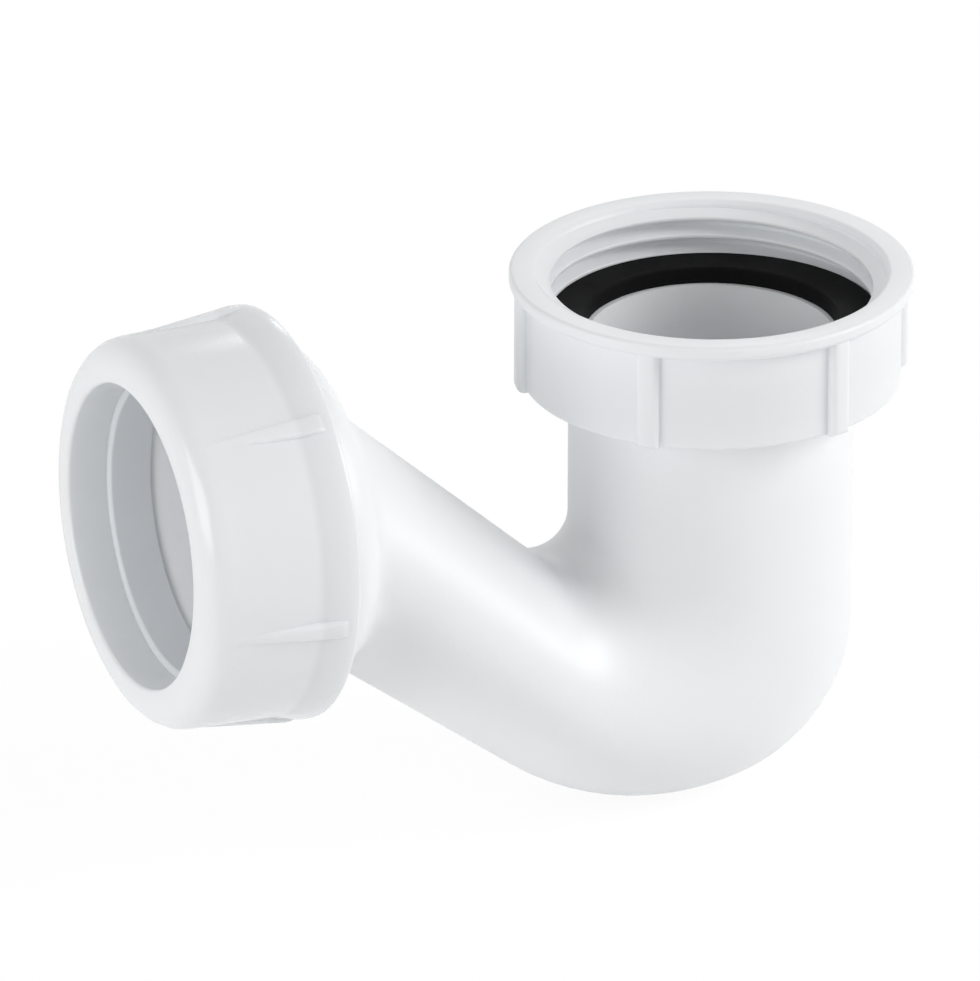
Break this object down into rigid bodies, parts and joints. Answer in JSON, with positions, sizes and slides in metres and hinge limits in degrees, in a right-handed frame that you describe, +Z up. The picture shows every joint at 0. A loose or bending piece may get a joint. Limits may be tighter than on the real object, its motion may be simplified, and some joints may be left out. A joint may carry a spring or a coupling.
{
  "type": "bidet trap",
  "caption": "White plastic bidet trap: a swivelling nut and washer on a short tube that bends into a flattened rising leg, ending in a compression nut and seal for a plain waste pipe.",
  "frame": {"origin": "centre of the inlet nut's open top", "axes": "+Z up along the inlet, out of the nut's mouth; the outlet points along -X; XZ is the plane of symmetry of the body"},
  "size_m": [0.1013, 0.0504, 0.0698],
  "materials": {
    "body": "moulded white, semi-matte",
    "inlet_nut": "moulded white, semi-matte",
    "washer": "black satin rubber",
    "outlet_nut": "moulded cool white, soft gloss",
    "seal": "natural pale polyethylene"
  },
  "bodies": {
    "trap_body": {"trap_body": "body", "inlet_washer": "washer"},
    "inlet_nut": {"inlet_nut": "inlet_nut"},
    "outlet_seal": {"outlet_seal": "seal"},
    "outlet_nut": {"outlet_nut": "outlet_nut"}
  },
  "joints": [
    {"name": "inlet_nut_turn", "type": "hinge", "parent": "trap_body", "child": "inlet_nut", "pos_m": [0, 0, -0.007], "axis": [0, 0, 1], "continuous": true},
    {"name": "outlet_seal_slide", "type": "slide", "parent": "trap_body", "child": "outlet_seal", "axis": [-1, 0, 0], "range_m": [0, 0.009]},
    {"name": "outlet_nut_turn", "type": "hinge", "parent": "outlet_seal", "child": "outlet_nut", "pos_m": [-0.067, 0, -0.0216], "axis": [-1, 0, 0], "range_deg": [0, 1080]}
  ],
  "couplings": [
    {"joint": "outlet_seal_slide", "follows": "outlet_nut_turn", "m_per_rad": 0.00047746}
  ]
}
